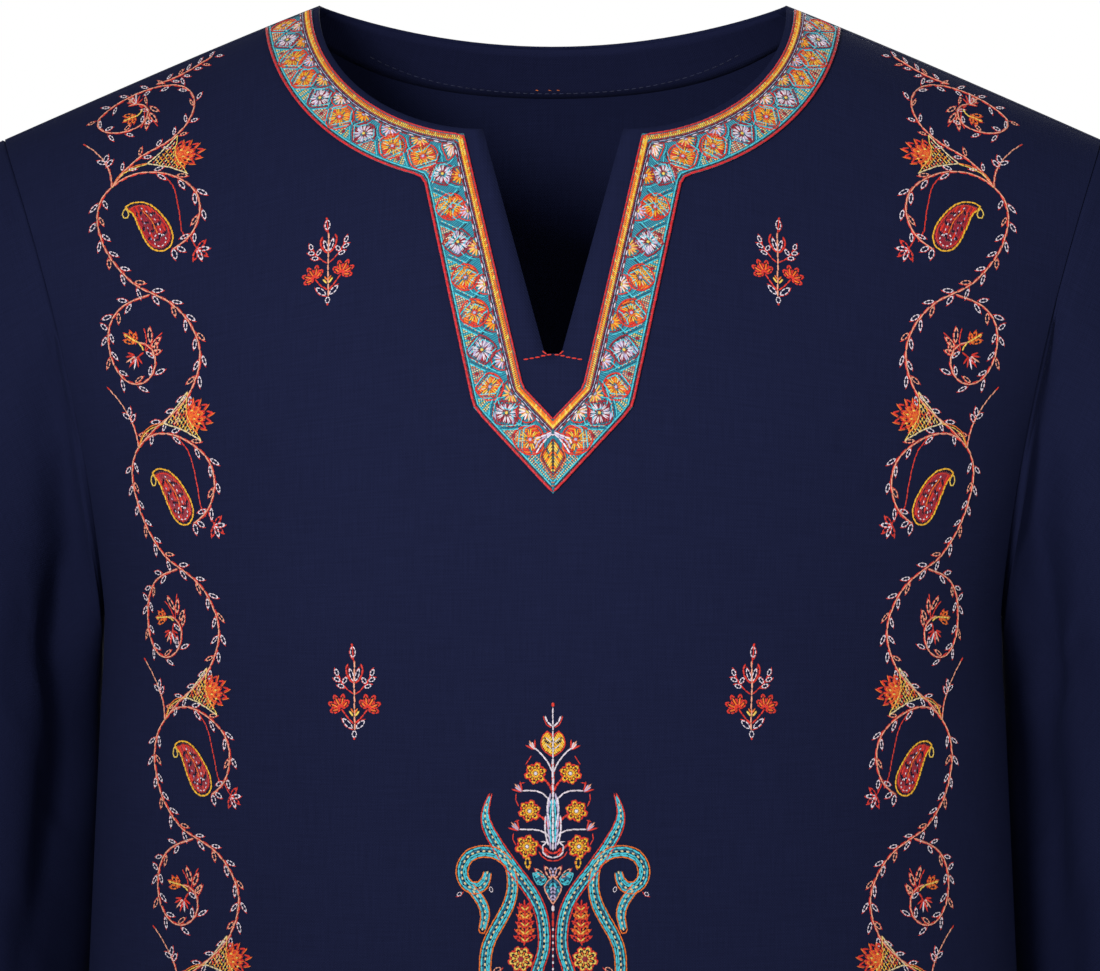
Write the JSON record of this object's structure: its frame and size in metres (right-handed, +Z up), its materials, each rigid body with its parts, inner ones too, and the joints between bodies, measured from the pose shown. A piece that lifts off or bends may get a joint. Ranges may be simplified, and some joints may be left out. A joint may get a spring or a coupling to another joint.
{
  "type": "kurta tunic",
  "caption": "Long-sleeved navy cotton kurta tunic, filled out as worn, with an embroidered split neck, side vents and embroidered front.",
  "frame": {"origin": "middle of the neck opening, level with the high points of the shoulders, where the garment hangs on its wearer", "axes": "+Z up, the front faces -Y, +X towards the wearer's left sleeve"},
  "size_m": [0.674, 0.2504, 0.8416],
  "materials": {
    "navy_cotton": "matte plain weave",
    "navy_facing": "matte plain weave",
    "embroidered_border": "soft sheen, raised stitches",
    "embroidery_thread": "soft sheen"
  },
  "bodies": {
    "root": {"front_panel": "navy_cotton", "back_panel": "navy_cotton", "sleeve_left": "navy_cotton", "sleeve_right": "navy_cotton", "neck_border": "embroidered_border", "back_neck_facing": "navy_facing"}
  },
  "joints": []
}
